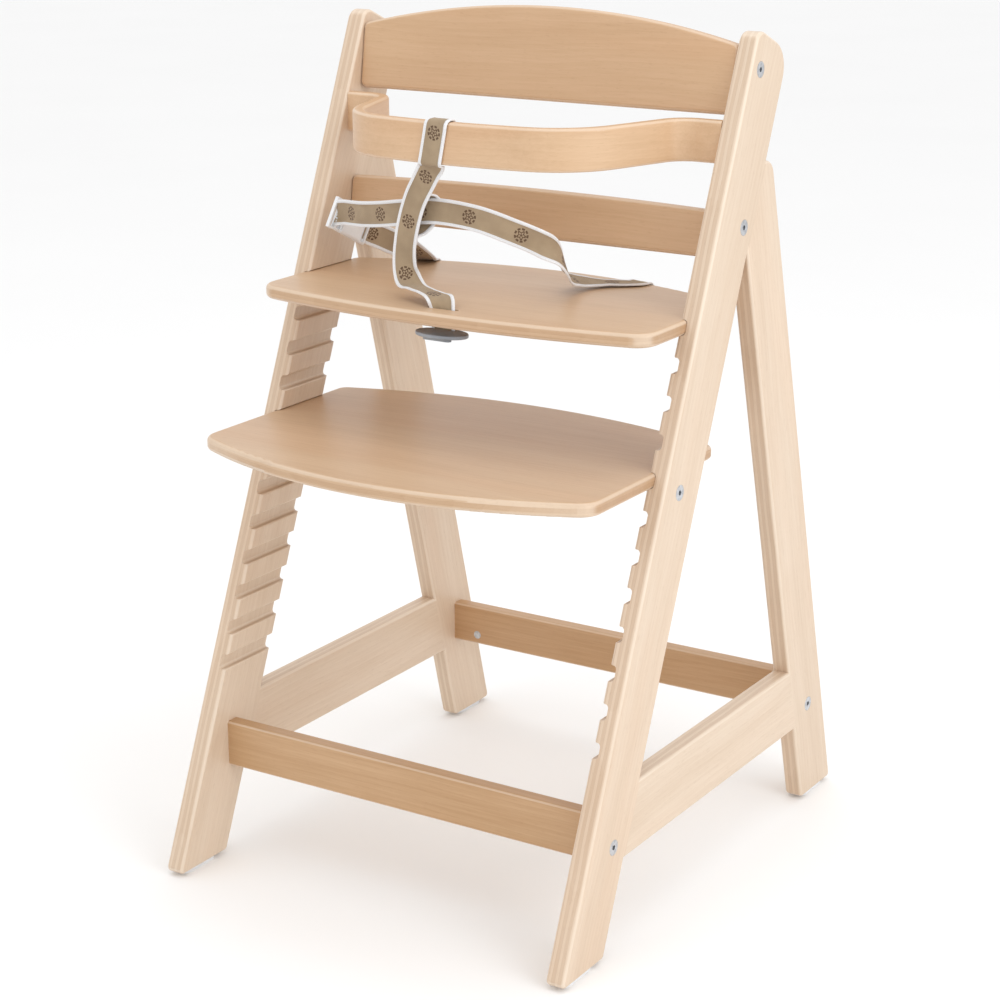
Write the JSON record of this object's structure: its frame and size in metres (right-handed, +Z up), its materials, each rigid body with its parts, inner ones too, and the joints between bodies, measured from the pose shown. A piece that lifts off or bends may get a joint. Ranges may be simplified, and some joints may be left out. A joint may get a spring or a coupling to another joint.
{
  "type": "baby high chair",
  "caption": "Wooden stair-type baby high chair: A-shaped sides, grooved uprights, movable seat and footrest, back slats, bent safety bar and a webbing harness with a plastic buckle.",
  "frame": {"origin": "centre of the bottom of the bounding box, on the floor", "axes": "+Z up, -Y towards the front, where the child's feet are, +X towards the right as seen from the front"},
  "size_m": [0.51, 0.6252, 0.9237],
  "materials": {
    "frame_wood": "clear satin lacquer on pale beech and birch plywood",
    "cross_wood": "clear satin lacquer",
    "plate_wood": "clear satin lacquer on plywood",
    "dowel_wood": "plain fluted beech dowel",
    "zinc_steel": "zinc plated",
    "white_plastic": "moulded, satin",
    "grey_plastic": "moulded, satin",
    "webbing": "woven webbing, tan with white edges and brown round motifs"
  },
  "bodies": {
    "root": {"left_upright": "frame_wood", "right_upright": "frame_wood", "left_rear_leg": "frame_wood", "right_rear_leg": "frame_wood", "left_side_rail": "frame_wood", "right_side_rail": "frame_wood", "front_cross_rail": "cross_wood", "rear_cross_rail": "cross_wood", "top_back_slat": "cross_wood", "lower_back_slat": "cross_wood", "safety_bar": "cross_wood", "clamp_rod": "zinc_steel", "clamp_sleeve_nuts": "zinc_steel", "rail_bolts": "zinc_steel", "rail_barrel_nuts": "zinc_steel", "slat_bolts": "zinc_steel", "slat_barrel_nuts": "zinc_steel", "cross_rail_dowels": "dowel_wood", "slat_dowels": "dowel_wood", "safety_bar_pins": "dowel_wood", "rear_leg_dowels": "dowel_wood", "side_rail_dowels": "dowel_wood", "front_left_glide": "white_plastic", "front_right_glide": "white_plastic", "rear_left_glide": "white_plastic", "rear_right_glide": "white_plastic", "crotch_strap": "webbing", "crotch_belt_loop": "webbing"},
    "seat": {"seat_plate": "plate_wood", "strap_retainer": "grey_plastic", "waist_belt_left": "webbing", "waist_belt_right": "webbing", "buckle_socket": "white_plastic", "belt_washers": "zinc_steel", "belt_screws": "zinc_steel"},
    "footrest": {"footrest_plate": "plate_wood"},
    "plug": {"buckle_plug": "white_plastic"}
  },
  "joints": [
    {"name": "seat_slide", "type": "slide", "parent": "root", "child": "seat", "axis": [0, 1, 0], "range_m": [-0.03, 0.012], "deforming": ["crotch_strap", "crotch_belt_loop", "waist_belt_right", "waist_belt_left"]},
    {"name": "footrest_slide", "type": "slide", "parent": "root", "child": "footrest", "axis": [0, 1, 0], "range_m": [-0.03, 0.03]},
    {"name": "buckle_release", "type": "slide", "parent": "seat", "child": "plug", "axis": [0.1604, 0.8619, -0.4811], "range_m": [0, 0.018], "deforming": ["waist_belt_left"]}
  ]
}
